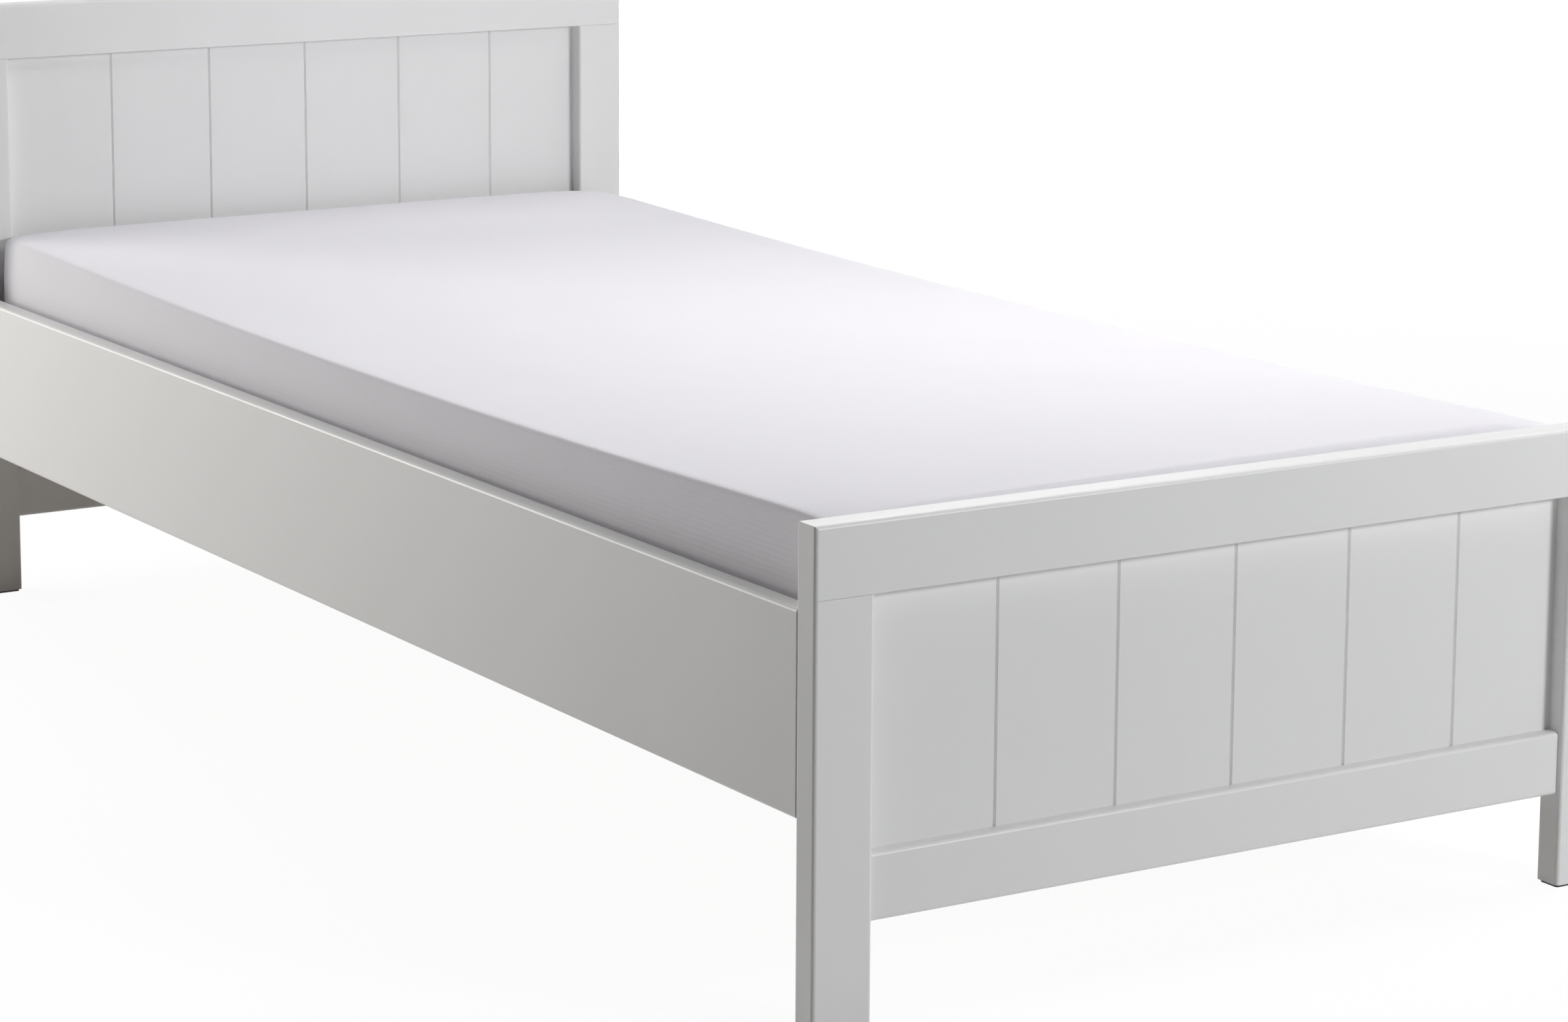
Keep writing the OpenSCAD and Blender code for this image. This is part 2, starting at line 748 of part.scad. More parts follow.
for (e = [0, 1], s = [0, 1]) post(e, s);
for (e = [0, 1]) top_rail(e);
for (e = [0, 1]) bottom_rail(e);
for (e = [0, 1], i = [1 : board_count]) board(e, i);
for (s = [0, 1]) side_rail(s);
for (s = [0, 1]) slat_ledger(s);
for (e = [0, 1], s = [0, 1]) corner_bracket(e, s);
for (i = [1 : slat_count]) slat(i);
for (s = [0, 1]) slat_tape(s);
for (e = [0, 1], s = [0, 1]) floor_glide(e, s);
mattress_core();
mattress_cover();
top_rail_dowels();
bottom_rail_dowels();
side_rail_dowels();
bracket_bolts();
insert_nuts();
bracket_screws();
ledger_screws();
slat_screws();
panel_pins();
tape_staples();
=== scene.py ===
# %% [markdown]
# A single bed in white lacquer: two framed and boarded ends, plain side rails, a slatted base and a foam
# mattress. The wooden parts arrive as finished solids, so this lesson gives them their light and their
# finishes, and it makes the one soft thing, the mattress, from scratch.

# %% Load the bed
import math

import bpy
import numpy as np
from mathutils import Euler, Matrix, Vector


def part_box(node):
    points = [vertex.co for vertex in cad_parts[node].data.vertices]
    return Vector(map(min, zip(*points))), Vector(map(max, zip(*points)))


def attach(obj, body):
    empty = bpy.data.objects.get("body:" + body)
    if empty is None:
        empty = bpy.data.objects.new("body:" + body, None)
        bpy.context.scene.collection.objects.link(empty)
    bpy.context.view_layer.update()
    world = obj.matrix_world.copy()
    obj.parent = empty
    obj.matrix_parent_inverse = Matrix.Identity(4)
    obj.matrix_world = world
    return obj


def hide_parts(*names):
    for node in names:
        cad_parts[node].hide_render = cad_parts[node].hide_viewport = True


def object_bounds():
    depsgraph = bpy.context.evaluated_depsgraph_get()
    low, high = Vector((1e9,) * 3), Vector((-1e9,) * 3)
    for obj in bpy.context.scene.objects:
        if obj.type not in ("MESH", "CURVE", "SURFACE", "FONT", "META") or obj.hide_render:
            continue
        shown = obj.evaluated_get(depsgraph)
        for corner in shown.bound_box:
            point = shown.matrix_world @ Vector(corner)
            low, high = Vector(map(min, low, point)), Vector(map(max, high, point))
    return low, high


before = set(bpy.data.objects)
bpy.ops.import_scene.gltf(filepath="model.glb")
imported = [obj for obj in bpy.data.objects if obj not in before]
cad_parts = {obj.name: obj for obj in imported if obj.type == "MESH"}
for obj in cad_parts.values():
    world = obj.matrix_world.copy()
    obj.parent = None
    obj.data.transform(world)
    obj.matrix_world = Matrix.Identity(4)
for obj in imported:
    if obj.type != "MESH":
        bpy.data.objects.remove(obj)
cad_low, cad_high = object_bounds()
print(len(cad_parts), "pieces, box in metres", [round(v, 3) for v in cad_high - cad_low])

# %% [markdown]
# The bed was photographed with a long lens, from beyond the foot end's left corner and 1.3 m above the
# floor. A long lens used from far away keeps the sides nearly parallel. The lens is shifted down a little,
# as on a technical camera, which keeps the posts upright without tilting the camera further.

# %% Camera
PICTURE_W = 2300
EYE = (-2.570, -4.316, 1.340)
HEADING = 32.02
TILT = -10.62
LEAN = 0.325
FOCAL_PIXELS = 6479
LENS_SHIFT = -0.08
SENSOR_MM = 36

bpy.ops.object.camera_add(location=EYE)
camera = bpy.context.object
level = Euler((math.radians(90 + TILT), 0, math.radians(-HEADING))).to_matrix()
camera.rotation_euler = (level @ Matrix.Rotation(math.radians(LEAN), 3, "Z")).to_euler()
camera.data.sensor_width = SENSOR_MM
camera.data.lens = SENSOR_MM * FOCAL_PIXELS / PICTURE_W
camera.data.shift_y = LENS_SHIFT
camera.data.clip_end = 200
bpy.context.scene.camera = camera
print("lens", round(camera.data.lens, 1), "mm")

# %% [markdown]
# Materials are built from nodes, and four small helpers keep that readable: one opens a material, one adds
# a node with its settings, one mixes two colours by a mask, and one turns a pattern into a fine relief.

# %% Helpers for materials
def open_material(name, roughness, **shader_values):
    """A new material, its nodes and links, its shader and the piece's own coordinates in metres."""
    material = bpy.data.materials.new(name)
    material.use_nodes = True
    nodes = material.node_tree.nodes
    shader = nodes["Principled BSDF"]
    shader.inputs["Roughness"].default_value = roughness
    for socket, value in shader_values.items():
        shader.inputs[socket.replace("_", " ")].default_value = value
    where = nodes.new("ShaderNodeTexCoord").outputs["Object"]
    return material, nodes, material.node_tree.links, shader, where


def add(nodes, links, kind, values=None, **settings):
    """A node of one kind. Each value is a number or colour for a socket, or an output to link to it."""
    node = nodes.new("ShaderNode" + kind)
    for name, value in settings.items():
        setattr(node, name, value)
    for socket, value in (values or {}).items():
        if isinstance(value, bpy.types.NodeSocket):
            links.new(value, node.inputs[socket])
        else:
            node.inputs[socket].default_value = value
    return node


def mix_colours(nodes, links, mask, first, second):
    """The colour that runs from the first to the second as the mask goes from 0 to 1."""
    mix = add(nodes, links, "Mix", {0: mask, 6: first, 7: second}, data_type="RGBA")
    return mix.outputs[2]


def add_relief(nodes, links, shader, height, strength, depth):
    """Links a pattern between 0 and 1 to the shader as fine relief, with its depth in metres."""
    relief = add(nodes, links, "Bump", {"Strength": strength, "Distance": depth, "Height": height})
    links.new(relief.outputs[0], shader.inputs["Normal"])


# %% [markdown]
# The studio is a white floor that runs on to a white world, so no horizon shows. The floor is a real
# surface that throws light back up at the bed. Rays that come straight from the camera, or by way of a
# reflection, see it mostly as plain white, with just enough of the real surface left near the bed to hold
# its shadow. Further out, past the lamps' reach, the floor is plain white altogether. The world gives no
# light of its own, so every tone on the bed comes from a lamp or from the floor.

# %% Floor and world
FLOOR_SIZE = 80
FLOOR_WHITE = 1.05
FLOOR_COLOUR = (0.80, 0.80, 0.80, 1)
SHADOW_SHARE = 0.10
SHADOW_REACH = (2.0, 5.0)
PAPER_WHITE = (1, 1, 1, 1)
NO_LIGHT = (0, 0, 0, 1)


def seen_directly(nodes, links):
    """1 for rays from the camera, from a reflection or through glass, and 0 for light that bounces."""
    ray = add(nodes, links, "LightPath").outputs
    one = add(nodes, links, "Math", {0: ray["Is Camera Ray"], 1: ray["Is Glossy Ray"]}, operation="MAXIMUM")
    two = add(nodes, links, "Math", {0: one.outputs[0], 1: ray["Is Transmission Ray"]}, operation="MAXIMUM")
    return two.outputs[0]


bpy.ops.mesh.primitive_plane_add(size=FLOOR_SIZE, location=(0, 0, 0))
floor = bpy.context.object
floor.name = "studio_floor"

floor_paint, nodes, links, shader, where = open_material("floor_paint", 0.9, Specular_IOR_Level=0.0)
shader.inputs["Base Color"].default_value = FLOOR_COLOUR
plain = add(nodes, links, "Emission", {"Color": PAPER_WHITE, "Strength": FLOOR_WHITE})
away = add(nodes, links, "VectorMath", {0: where}, operation="LENGTH")
whiteness = add(nodes, links, "MapRange", {
    "Value": away.outputs["Value"], "From Min": SHADOW_REACH[0], "From Max": SHADOW_REACH[1],
    "To Min": 1 - SHADOW_SHARE, "To Max": 1.0})
direct = seen_directly(nodes, links)
share = add(nodes, links, "Math", {0: direct, 1: whiteness.outputs[0]}, operation="MULTIPLY")
both = add(nodes, links, "MixShader", {0: share.outputs[0], 1: shader.outputs[0], 2: plain.outputs[0]})
links.new(both.outputs[0], nodes["Material Output"].inputs["Surface"])
floor.data.materials.append(floor_paint)

world = bpy.data.worlds.new("studio")
bpy.context.scene.world = world
world.use_nodes = True
nodes, links = world.node_tree.nodes, world.node_tree.links
backdrop = mix_colours(nodes, links, seen_directly(nodes, links), NO_LIGHT, PAPER_WHITE)
links.new(backdrop, nodes["Background"].inputs["Color"])
bpy.context.scene.view_settings.view_transform = "Standard"
print("floor", FLOOR_SIZE, "m wide, its shadow gone", SHADOW_REACH[1], "m from the middle")

# %% [markdown]
# The picture's light falls off in three ways, and a group of soft boxes makes each. Behind the bed's left
# side stand two that graze the side rail, so the rail is light near the head and dark towards the foot. A
# small one stands in front of the foot end, a little to the right. Because it is small, the top rail casts
# a thin, crisp shadow on the boards. A weak one beside it has a grid that lets out only a narrow beam, over
# the foot end and on to the head boards. Without it they would get their light from above, and the rail
# over them would cast a broad shadow. Five more hang above the mattress, over it or to its right, so that
# they light its top and leave the near side and the near rail's top in shade.

# %% Lights
WHITE = (1.0, 1.0, 1.0)
NO_GRID = 180
LIGHTS = {
    "box_behind_left": {"at": (-2.6, 2.9, 1.7), "aim": (-0.4, 0.2, 0.3), "size": (1.6, 1.4), "watts": 40,
                        "colour": (1.0, 0.99, 0.98)},
    "box_low_left": {"at": (-3.6, 5.0, 0.9), "aim": (-0.45, 0.2, 0.3), "size": (1.6, 0.9), "watts": 109,
                     "colour": (1.0, 0.98, 0.93)},
    "box_front": {"at": (2.0, -4.7, 1.8), "aim": (0.0, -1.0, 0.4), "size": (1.0, 0.8), "watts": 101,
                  "colour": (0.98, 0.985, 1.0)},
    "box_front_beam": {"at": (1.2, -4.6, 1.5), "aim": (0.27, 1.0, 0.66), "size": (0.5, 0.5), "watts": 0.36,
                       "spread": 20},
    "box_over_head": {"at": (0.0, 1.4, 3.0), "aim": (0.0, 0.9, 0.4), "size": (2.0, 2.0), "watts": 19},
    "box_right_head": {"at": (1.8, 1.3, 2.8), "aim": (0.0, 0.4, 0.45), "size": (2.0, 2.0), "watts": 14},
    "box_over_middle": {"at": (0.75, -1.1, 2.6), "aim": (0.0, 0.8, 0.55), "size": (1.2, 0.8), "watts": 9},
    "box_right_grid": {"at": (2.2, -0.6, 2.6), "aim": (0.0, -0.3, 0.46), "size": (1.4, 1.4), "watts": 6.8,
                       "spread": 70},
    "box_head_grid": {"at": (1.4, 1.5, 2.4), "aim": (-0.05, -0.7, 0.46), "size": (0.8, 0.8), "watts": 1.4,
                      "spread": 50},
}


def soft_box(name, at, aim, size, watts, colour=WHITE, spread=NO_GRID):
    """A rectangular lamp at one point, turned towards another. A grid narrows its spread, in degrees."""
    facing = (Vector(aim) - Vector(at)).to_track_quat("-Z", "Y").to_euler()
    bpy.ops.object.light_add(type="AREA", location=at, rotation=facing)
    lamp = bpy.context.object
    lamp.name = name
    lamp.data.shape = "RECTANGLE"
    lamp.data.size, lamp.data.size_y = size
    lamp.data.energy = watts
    lamp.data.color = colour
    lamp.data.spread = math.radians(spread)
    lamp.visible_camera = False
    return lamp


for name, values in LIGHTS.items():
    soft_box(name, **values)
print(len(LIGHTS), "soft boxes,", round(sum(values["watts"] for values in LIGHTS.values())), "watts in all")

# %% [markdown]
# Wood is a figure of long streaks. The grain group takes the piece's coordinates, squeezes them along the
# grain and reads two noises there: broad bands for the growth rings and fine lines for the fibres. The
# bare pine takes its colour from the rings and its relief from the fibres, and under white lacquer the
# fibres only just show as relief.

# %% Grain group
def grain_group():
    """Node group: streaks along the first axis of the vector that it is given."""
    group = bpy.data.node_groups.new("grain", "ShaderNodeTree")
    sockets = group.interface
    sockets.new_socket("Vector", in_out="INPUT", socket_type="NodeSocketVector")
    sockets.new_socket("Ring Scale", in_out="INPUT", socket_type="NodeSocketFloat").default_value = 60
    sockets.new_socket("Fibre Scale", in_out="INPUT", socket_type="NodeSocketFloat").default_value = 900
    sockets.new_socket("Rings", in_out="OUTPUT", socket_type="NodeSocketFloat")
    sockets.new_socket("Fibres", in_out="OUTPUT", socket_type="NodeSocketFloat")
    nodes, links = group.nodes, group.links
    given = nodes.new("NodeGroupInput").outputs
    result = nodes.new("NodeGroupOutput").inputs
    long_way = add(nodes, links, "Mapping", {"Vector": given["Vector"], "Scale": (0.05, 1, 1)})
    rings = add(nodes, links, "TexNoise", {"Vector": long_way.outputs[0], "Scale": given["Ring Scale"],
                                           "Detail": 3.0, "Distortion": 0.6})
    fibres = add(nodes, links, "TexNoise", {"Vector": long_way.outputs[0], "Scale": given["Fibre Scale"],
                                            "Detail": 2.0})
    links.new(rings.outputs[0], result["Rings"])
    links.new(fibres.outputs[0], result["Fibres"])
    return group


GRAIN = grain_group()
print("grain group has", len(GRAIN.nodes), "nodes")

# %% [markdown]
# The bed is sprayed with a satin white lacquer. A sprayed coat is never a mirror: it dries to a fine skin
# of tiny hills, about a millimetre apart, and over wood the fibres show through it a little. The grain
# has to run the long way of each piece, so the material is made once for each direction.

# %% White lacquer
LACQUER = (0.86, 0.86, 0.855, 1)
LACQUER_SHADE = (0.835, 0.835, 0.825, 1)
LACQUER_GLOSS = (0.36, 0.48)
SKIN_DEPTH = 0.00005
FIBRE_DEPTH = 0.00006
ALONG = {"x": (0, 0, 0), "y": (0, 0, -math.pi / 2), "z": (0, math.pi / 2, 0)}


def white_lacquer(axis):
    """Satin white lacquer over wood whose grain runs along one axis."""
    material, nodes, links, shader, where = open_material(
        "white_lacquer_" + axis, 0.42, Coat_Weight=0.08, Coat_Roughness=0.3)
    turned = add(nodes, links, "Mapping", {"Vector": where, "Rotation": ALONG[axis]})
    grain = nodes.new("ShaderNodeGroup")
    grain.node_tree = GRAIN
    links.new(turned.outputs[0], grain.inputs["Vector"])
    skin = add(nodes, links, "TexNoise", {"Vector": where, "Scale": 700, "Detail": 1.0})
    cloud = add(nodes, links, "TexNoise", {"Vector": where, "Scale": 5, "Detail": 2.0})
    colour = mix_colours(nodes, links, cloud.outputs[0], LACQUER, LACQUER_SHADE)
    links.new(colour, shader.inputs["Base Color"])
    gloss = add(nodes, links, "MapRange", {
        "Value": cloud.outputs[0], "To Min": LACQUER_GLOSS[0], "To Max": LACQUER_GLOSS[1]})
    links.new(gloss.outputs[0], shader.inputs["Roughness"])
    fibre_relief = add(nodes, links, "Bump", {
        "Strength": 0.25, "Distance": FIBRE_DEPTH, "Height": grain.outputs["Fibres"]})
    skin_relief = add(nodes, links, "Bump", {
        "Strength": 0.3, "Distance": SKIN_DEPTH, "Height": skin.outputs[0],
        "Normal": fibre_relief.outputs[0]})
    links.new(skin_relief.outputs[0], shader.inputs["Normal"])
    return material


def paint(names, material):
    """Gives some of the bed's own pieces a material."""
    for name in names:
        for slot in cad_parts[name].material_slots:
            slot.material = material
    print(f"{material.name}: {len(names)} pieces")


names = sorted(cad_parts)
paint([n for n in names if n.endswith(("top_rail", "bottom_rail"))], white_lacquer("x"))
paint([n for n in names if n.startswith("side_rail_") and "dowels" not in n], white_lacquer("y"))
paint([n for n in names if "_post_" in n or "_board_" in n], white_lacquer("z"))

# %% [markdown]
# Slats and ledgers are planed pine, left bare. Late wood makes the darker lines and here and there lies a
# knot. Each slat is cut from another place in the tree, so the pattern is moved by a random step for each
# slat, found from where the slat lies along the bed. The two ledgers are told apart by their side.

# %% Bare pine
PINE_EARLY = (0.80, 0.63, 0.40, 1)
PINE_LATE = (0.62, 0.40, 0.20, 1)
PINE_KNOT = (0.27, 0.13, 0.06, 1)
LATE_WOOD = (0.42, 0.68)
KNOT_EDGE = (0.045, 0.075)


def bare_pine(axis, pitch):
    """Planed pine along one axis; pitch is how far apart the pieces lie across it, in metres."""
    material, nodes, links, shader, where = open_material("bare_pine_" + axis, 0.62)
    parts = add(nodes, links, "SeparateXYZ", {0: where})
    sideways = parts.outputs[1 if axis == "x" else 0]
    row = add(nodes, links, "Math", {0: sideways, 1: pitch}, operation="SNAP")
    step = add(nodes, links, "TexWhiteNoise", {"W": row.outputs[0]}, noise_dimensions="1D")
    shifted = add(nodes, links, "VectorMath", {0: where, 1: step.outputs["Color"]}, operation="ADD")
    turned = add(nodes, links, "Mapping", {"Vector": shifted.outputs[0], "Rotation": ALONG[axis]})
    grain = nodes.new("ShaderNodeGroup")
    grain.node_tree = GRAIN
    links.new(turned.outputs[0], grain.inputs["Vector"])
    late = add(nodes, links, "MapRange", {
        "Value": grain.outputs["Rings"], "From Min": LATE_WOOD[0], "From Max": LATE_WOOD[1]})
    wood = mix_colours(nodes, links, late.outputs[0], PINE_EARLY, PINE_LATE)
    knots = add(nodes, links, "TexVoronoi", {"Vector": turned.outputs[0], "Scale": 5.5, "Randomness": 1.0})
    knot = add(nodes, links, "MapRange", {
        "Value": knots.outputs["Distance"], "From Min": KNOT_EDGE[0], "From Max": KNOT_EDGE[1],
        "To Min": 1.0, "To Max": 0.0})
    colour = mix_colours(nodes, links, knot.outputs[0], wood, PINE_KNOT)
    links.new(colour, shader.inputs["Base Color"])
    add_relief(nodes, links, shader, grain.outputs["Fibres"], strength=0.5, depth=0.0002)
    return material


slat_names = [n for n in names if n.startswith("slat_") and n[5:].isdigit()]
first_slat, next_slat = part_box("slat_1")[0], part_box("slat_2")[0]
paint(slat_names, bare_pine("x", next_slat.y - first_slat.y))
paint([n for n in names if n.startswith("slat_ledger")], bare_pine("y", cad_high.x))

# %% [markdown]
# The fixings hardly show, but they are real pieces and get real finishes: turned beech for the dowels,
# bright zinc plate for brackets, bolts, nuts, screws, pins and staples, woven tape under the slats, and a
# dark, finely pitted plastic for the floor glides. A wave texture repeats every 0.314 m divided by its
# scale, which is how the tape's ribs and threads get their real pitch.

# %% Beech dowels
BEECH_LIGHT = (0.66, 0.42, 0.22, 1)
BEECH_DARK = (0.52, 0.30, 0.14, 1)


def beech():
    """Turned beech with its short dark flecks."""
    material, nodes, links, shader, where = open_material("beech", 0.55)
    flecks = add(nodes, links, "TexNoise", {"Vector": where, "Scale": 420, "Detail": 2.0})
    colour = mix_colours(nodes, links, flecks.outputs[0], BEECH_LIGHT, BEECH_DARK)
    links.new(colour, shader.inputs["Base Color"])
    add_relief(nodes, links, shader, flecks.outputs[0], strength=0.4, depth=0.0001)
    return material


paint([n for n in names if n.endswith("dowels")], beech())

# %% Zinc on brackets and fixings
ZINC_DARK = (0.62, 0.64, 0.68, 1)
ZINC_LIGHT = (0.72, 0.73, 0.75, 1)
ZINC_GLOSS = (0.28, 0.42)
METAL_WORDS = ("bracket", "insert_nuts", "screws", "pins", "staples")


def zinc():
    """Bright zinc plate: its crystals differ a little in tone and polish."""
    material, nodes, links, shader, where = open_material("zinc", 0.35, Metallic=1.0)
    crystals = add(nodes, links, "TexVoronoi", {"Vector": where, "Scale": 260})
    tone = add(nodes, links, "SeparateXYZ", {0: crystals.outputs["Color"]})
    colour = mix_colours(nodes, links, tone.outputs[0], ZINC_DARK, ZINC_LIGHT)
    links.new(colour, shader.inputs["Base Color"])
    polish = add(nodes, links, "MapRange", {
        "Value": tone.outputs[1], "To Min": ZINC_GLOSS[0], "To Max": ZINC_GLOSS[1]})
    links.new(polish.outputs[0], shader.inputs["Roughness"])
    return material


paint([n for n in names if any(word in n for word in METAL_WORDS)], zinc())

# %% Woven tape
TAPE_DARK = (0.42, 0.42, 0.40, 1)
TAPE_LIGHT = (0.66, 0.66, 0.63, 1)


def woven_tape():
    """Grey webbing: ribs across its length, 4 mm apart, and threads along it, 2 mm apart."""
    material, nodes, links, shader, where = open_material("woven_tape", 0.9)
    ribs = add(nodes, links, "TexWave", {"Vector": where, "Scale": 80, "Distortion": 0.6},
               wave_type="BANDS", bands_direction="Y")
    threads = add(nodes, links, "TexWave", {"Vector": where, "Scale": 160, "Distortion": 0.4},
                  wave_type="BANDS", bands_direction="X")
    cloth = add(nodes, links, "Math", {0: ribs.outputs[1], 1: threads.outputs[1]}, operation="MULTIPLY")
    colour = mix_colours(nodes, links, cloth.outputs[0], TAPE_DARK, TAPE_LIGHT)
    links.new(colour, shader.inputs["Base Color"])
    add_relief(nodes, links, shader, cloth.outputs[0], strength=0.7, depth=0.0004)
    return material


paint([n for n in names if n.startswith("slat_tape")], woven_tape())

# %% Dark plastic
PLASTIC_DARK = (0.030, 0.030, 0.031, 1)
PLASTIC_LIGHT = (0.045, 0.045, 0.046, 1)


def dark_plastic():
    """Moulded plastic with the fine pits of a spark-worn mould."""
    material, nodes, links, shader, where = open_material("dark_plastic", 0.6)
    pits = add(nodes, links, "TexNoise", {"Vector": where, "Scale": 1500, "Detail": 2.0})
    colour = mix_colours(nodes, links, pits.outputs[0], PLASTIC_DARK, PLASTIC_LIGHT)
    links.new(colour, shader.inputs["Base Color"])
    add_relief(nodes, links, shader, pits.outputs[0], strength=0.4, depth=0.0001)
    return material


paint([n for n in names if n.startswith("floor_glide")], dark_plastic())

# %% [markdown]
# The mattress is a block of foam in a smooth cotton cover. Both start as a cube of the right size whose
# corners and rims are rounded with bevels: a thumb's width at the corners, but hardly at the rims, because
# the cover is cut tight and its edge shows as a crisp line. Bisecting the block again and again then gives
# it an even net of squares that can be bent. A voxel remesh would do that in one go, but would blunt the
# rims.

# %% Block with rounded corners
CORNER_R = 0.025
CORNER_STEPS = 6
RIM_R = 0.006
RIM_STEPS = 3
LEVEL = 1e-5


def deselect_all():
    """Nothing is selected and nothing is active, so that the next operator meets only what it should."""
    bpy.ops.object.select_all(action="DESELECT")
    bpy.context.view_layer.objects.active = None


def pick_only(piece):
    """Selects one piece and makes it the active one."""
    deselect_all()
    piece.select_set(True)
    bpy.context.view_layer.objects.active = piece


def pick_edges(piece, wanted):
    """Selects, in edit mode, the edges for which wanted(edge's two ends) is true."""
    bpy.ops.object.mode_set(mode="EDIT")
    bpy.ops.mesh.select_mode(type="EDGE")
    bpy.ops.mesh.select_all(action="DESELECT")
    bpy.ops.object.mode_set(mode="OBJECT")
    spots = [v.co.copy() for v in piece.data.vertices]
    for edge in piece.data.edges:
        edge.select = wanted(*(spots[i] for i in edge.vertices))
    bpy.ops.object.mode_set(mode="EDIT")


def cut_across(axis, low, high, cell):
    """Cuts everything with parallel planes between two places, no further apart than one cell."""
    normal = [1.0 if i == axis else 0.0 for i in range(3)]
    for place in np.linspace(low, high, math.ceil((high - low) / cell) + 1):
        bpy.ops.mesh.select_all(action="SELECT")
        bpy.ops.mesh.bisect(plane_co=[place * n for n in normal], plane_no=normal)


def rounded_block(name, low, high, corner_r, rim_r, cell):
    """A box between two corners with rounded uprights and rims, cut into squares of about one size."""
    deselect_all()
    bpy.ops.mesh.primitive_cube_add(size=1)
    piece = bpy.context.object
    piece.name = name
    bpy.ops.object.mode_set(mode="EDIT")
    bpy.ops.transform.resize(value=high - low)
    bpy.ops.transform.translate(value=(low + high) / 2)
    pick_edges(piece, lambda a, b: abs(a.z - b.z) > LEVEL)
    bpy.ops.mesh.bevel(offset=corner_r, segments=CORNER_STEPS)
    pick_edges(piece, lambda a, b: abs(a.z - b.z) < LEVEL)
    bpy.ops.mesh.bevel(offset=rim_r, segments=RIM_STEPS)
    for axis, margin in enumerate((corner_r, corner_r, rim_r)):
        cut_across(axis, low[axis] + margin, high[axis] - margin, cell)
    bpy.ops.object.mode_set(mode="OBJECT")
    print(name, len(piece.data.vertices), "points")
    return piece


# %% [markdown]
# A real mattress is no plain block. It lies 15 mm higher at its ends than in its middle, its top is a
# little crowned, its sides are drawn in at their top and bottom rims, and its corners drop. Its foot edge
# stands a few millimetres above the foot end's rail, more on the right, and shows there as a thin grey
# line. A lattice or proportional editing could bend the block too. Here each bend is a formula
# of where a point lies, from -1 to 1 along and across, because that gives the same mattress every time and
# bends the foam and the cover alike. A high power keeps a bend close to an end or a corner.

# %% Bend the block into a mattress
DRAW_IN = 0.003
TAPER = 0.003
CROWN = 0.005
END_RISE = 0.015
RISE_POWER = 2.2
CORNER_DROP = 0.008
DROP_ACROSS_POWER = 10
DROP_ALONG_POWER = 22
FOOT_LIP = 0.012
LIP_POWER = 20
LIP_MIDDLE = 0.65
LIP_GAIN = 0.35
LIP_FADE = 0.7
FADE_POWER = 8

cover_low, cover_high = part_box("mattress_cover")
HALF_W, HALF_L = cover_high.x, cover_high.y


def read_points(piece):
    """Where a piece's points are, one row each."""
    points = np.empty(3 * len(piece.data.vertices))
    piece.data.vertices.foreach_get("co", points)
    return points.reshape(-1, 3)


def move_points(piece, points):
    """Puts a piece's points where the rows say."""
    piece.data.vertices.foreach_set("co", points.ravel())
    piece.data.update()


def bend_block(piece, low, high):
    """Crown, raised ends, foot edge, dropped corners and drawn-in sides, by moving each point."""
    x, y, z = read_points(piece).T
    up = (z - low.z) / (high.z - low.z)
    across, along = x / HALF_W, y / HALF_L
    rise = END_RISE * np.abs(along) ** RISE_POWER
    crown = CROWN * np.clip(1 - across ** 2, 0, 1) * np.clip(1 - along ** 2, 0, 1)
    drop = CORNER_DROP * np.abs(across) ** DROP_ACROSS_POWER * np.abs(along) ** DROP_ALONG_POWER
    near_foot = np.clip(-along, 0, 1) ** LIP_POWER
    tilt = LIP_MIDDLE + LIP_GAIN * across
    lip = FOOT_LIP * near_foot * tilt * (1 - LIP_FADE * across ** FADE_POWER)
    fullness = DRAW_IN * (2 * up - 1) ** 2
    x = x * (1 - (TAPER * along ** 2 + fullness) / HALF_W)
    y = y * (1 - fullness / HALF_L)
    z = z + up * (rise + crown + lip - drop)
    move_points(piece, np.stack([x, y, z], 1))


print("mattress", round(2 * HALF_W, 3), "by", round(2 * HALF_L, 3), "m")

# %% [markdown]
# The cover is a block of the full size with a net that is fine enough for cloth. Its thickness is that of
# the mattress's sides half-way along, and the bends add the rest.

# %% Cotton cover
COVER_CELL = 0.022
EDGE_H = 0.1325

top_plane = Vector((HALF_W, HALF_L, cover_low.z + EDGE_H))
cover = rounded_block("cotton_cover", cover_low, top_plane, CORNER_R, RIM_R, COVER_CELL)
bend_block(cover, cover_low, top_plane)

# %% [markdown]
# The cover is sewn a trace larger than the foam and held by the foam's push. Cloth simulation with a
# little air pressure from inside swells the skin between its rims and lets the slack gather where it
# wants to. The underside lies on the slats and mustn't move, and how far any point may go is capped, so
# the mattress keeps the size it has in the drawing.

# %% Swell the cover
CLOTH_FRAMES = 18
AIR_PRESSURE = 3.0
SLACK = 0.004
STRETCH_STIFFNESS = 20
BEND_STIFFNESS = 1.5
PUFF_CAP = 0.0022


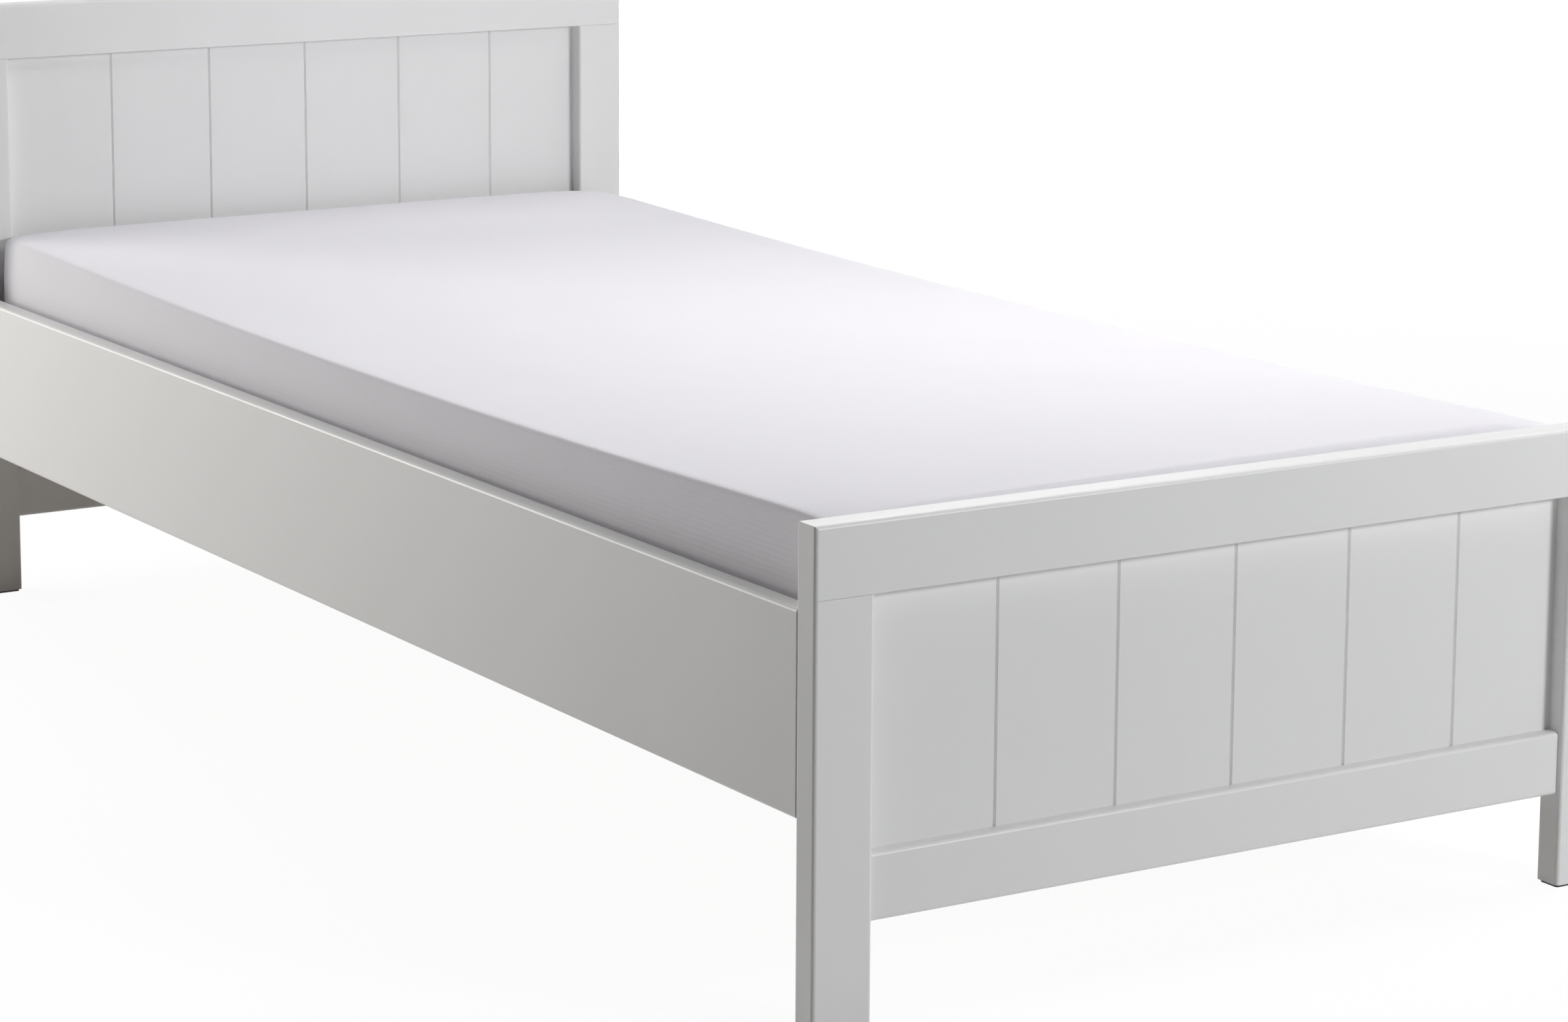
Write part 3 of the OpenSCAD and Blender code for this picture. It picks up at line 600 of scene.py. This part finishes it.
def puff(piece, floor_z):
    """Swells the skin by cloth simulation, holding the underside and capping every point's travel."""
    start = read_points(piece)
    held = piece.vertex_groups.new(name="held")
    held.add([int(i) for i in np.nonzero(start[:, 2] < floor_z + RIM_R)[0]], 1.0, "REPLACE")
    cloth = piece.modifiers.new("cloth", "CLOTH")
    cloth.settings.vertex_group_mass = held.name
    cloth.settings.use_pressure = True
    cloth.settings.uniform_pressure_force = AIR_PRESSURE
    cloth.settings.shrink_min = -SLACK
    cloth.settings.tension_stiffness = STRETCH_STIFFNESS
    cloth.settings.bending_stiffness = BEND_STIFFNESS
    cloth.settings.effector_weights.gravity = 0
    cloth.collision_settings.use_collision = False
    cloth.point_cache.frame_start, cloth.point_cache.frame_end = 1, CLOTH_FRAMES
    for step in range(1, CLOTH_FRAMES + 1):
        bpy.context.scene.frame_set(step)
    pick_only(piece)
    bpy.ops.object.modifier_apply(modifier=cloth.name)
    travel = read_points(piece) - start
    length = np.linalg.norm(travel, axis=1, keepdims=True)
    kept = travel * PUFF_CAP / np.maximum(length, PUFF_CAP)
    move_points(piece, start + kept)
    bpy.context.scene.frame_set(1)
    print("cloth moved up to", round(1000 * float(length.max()), 1), "mm, kept", 1000 * PUFF_CAP, "mm")


puff(cover, cover_low.z)
pick_only(cover)
soften = cover.modifiers.new("soften", "SUBSURF")
soften.levels = soften.render_levels = 1
bpy.ops.object.modifier_apply(modifier=soften.name)
bpy.ops.object.shade_smooth()

# %% [markdown]
# The cover's cloth is a fine cotton knit. Its threads need coordinates that follow the surface, so the
# cover is unwrapped like a box at real scale: one unit of the map is one metre. The knit is two crossing
# waves, 6 mm apart and too shallow to see from a step away, and a slow noise adds the faint clouds of
# washed cotton. A little sheen stands in for the fuzz.

# %% Cover's cloth
KNIT_SCALE = 55
COTTON = (0.925, 0.908, 0.955, 1)
COTTON_SHADE = (0.90, 0.883, 0.927, 1)


def cotton():
    """White cotton knit, read from the piece's own map in metres."""
    material, nodes, links, shader, where = open_material(
        "white_cotton", 0.85, Sheen_Weight=0.15, Sheen_Roughness=0.5, Specular_IOR_Level=0.25)
    sheet = add(nodes, links, "UVMap", uv_map="cloth")
    waves = [
        add(nodes, links, "TexWave",
            {"Vector": sheet.outputs[0], "Scale": KNIT_SCALE, "Distortion": 1.5, "Detail Scale": 4.0},
            wave_type="BANDS", bands_direction=way)
        for way in ("X", "Y")
    ]
    knit = add(nodes, links, "Math", {0: waves[0].outputs[1], 1: waves[1].outputs[1]}, operation="ADD")
    cloud = add(nodes, links, "TexNoise", {"Vector": where, "Scale": 9, "Detail": 3.0})
    colour = mix_colours(nodes, links, cloud.outputs[0], COTTON, COTTON_SHADE)
    links.new(colour, shader.inputs["Base Color"])
    add_relief(nodes, links, shader, knit.outputs[0], strength=0.3, depth=0.00015)
    return material


bpy.ops.object.mode_set(mode="EDIT")
bpy.ops.mesh.select_all(action="SELECT")
bpy.ops.uv.cube_project(cube_size=1.0)
bpy.ops.object.mode_set(mode="OBJECT")
cover.data.uv_layers.active.name = "cloth"
cover.data.materials.append(cotton())
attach(cover, "mattress")
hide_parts("mattress_cover")
print("cover has", len(cover.data.polygons), "squares")

# %% [markdown]
# Inside the cover lies the foam itself, one closed block with the same crown. Nobody sees it until the
# cover comes off, so it is made the same way with fewer squares and gets the open cells of cut foam.

# %% Foam core
CORE_GAP = 0.0033
CORE_CELL = 0.06
FOAM_LIGHT = (0.88, 0.82, 0.58, 1)
FOAM_DARK = (0.76, 0.68, 0.42, 1)


def foam():
    """Cream foam whose cut surface shows small open cells."""
    material, nodes, links, shader, where = open_material("cream_foam", 0.95, Specular_IOR_Level=0.1)
    cells = add(nodes, links, "TexVoronoi", {"Vector": where, "Scale": 700}).outputs["Distance"]
    colour = mix_colours(nodes, links, cells, FOAM_LIGHT, FOAM_DARK)
    links.new(colour, shader.inputs["Base Color"])
    add_relief(nodes, links, shader, cells, strength=0.6, depth=0.0006)
    return material


inset = Vector((CORE_GAP, CORE_GAP, CORE_GAP))
core_low, core_high = cover_low + inset, top_plane - inset
core = rounded_block("foam_core", core_low, core_high, CORNER_R - CORE_GAP, RIM_R - CORE_GAP, CORE_CELL)
bend_block(core, core_low, core_high)
pick_only(core)
bpy.ops.object.shade_smooth()
core.data.materials.append(foam())
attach(core, "mattress")
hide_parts("mattress_core")
